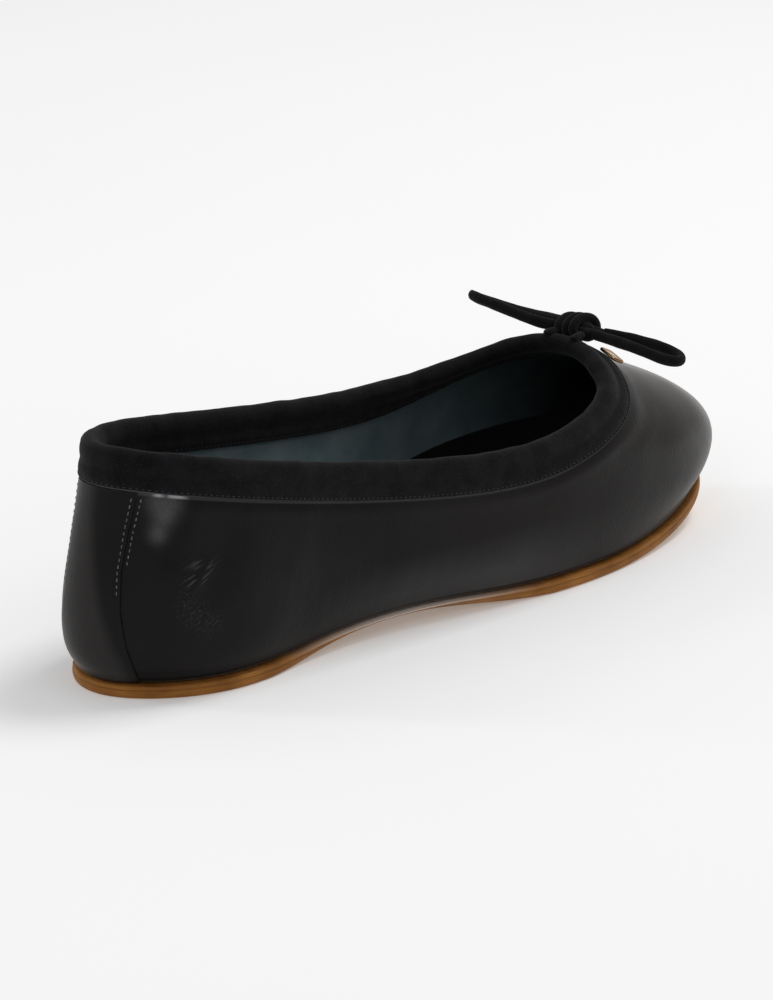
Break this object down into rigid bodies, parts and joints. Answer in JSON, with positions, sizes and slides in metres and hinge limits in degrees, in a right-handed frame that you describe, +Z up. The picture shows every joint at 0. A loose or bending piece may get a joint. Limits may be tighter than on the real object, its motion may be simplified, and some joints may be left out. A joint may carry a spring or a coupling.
{
  "type": "ballet flat",
  "caption": "Woman's ballet flat for the right foot: one-piece leather upper with a low bound collar, cord bow at the throat and a thin flat leather sole.",
  "frame": {"origin": "on the floor, under the middle of the heel, at the sole's flat spot there", "axes": "+X towards the toe along the sole, +Y towards the inner side of the foot, +Z up"},
  "size_m": [0.2534, 0.0814, 0.0678],
  "materials": {
    "black_calf": "smooth calf with a soft sheen",
    "black_suede": "matte suede",
    "black_sock": "matte sock leather",
    "tan_leather": "natural sole leather, burnished edge",
    "gilt_metal": "polished gilt"
  },
  "bodies": {
    "root": {"outsole": "tan_leather", "insole": "black_sock", "upper": "black_calf", "collar_binding": "black_suede", "back_strip": "black_calf", "bow_knot": "black_suede", "bow_loop_out": "black_suede", "bow_loop_in": "black_suede", "bow_tail_out": "black_suede", "bow_tail_out_knot": "black_suede", "bow_tail_in": "black_suede", "bow_tail_in_knot": "black_suede", "charm": "gilt_metal"}
  },
  "joints": []
}
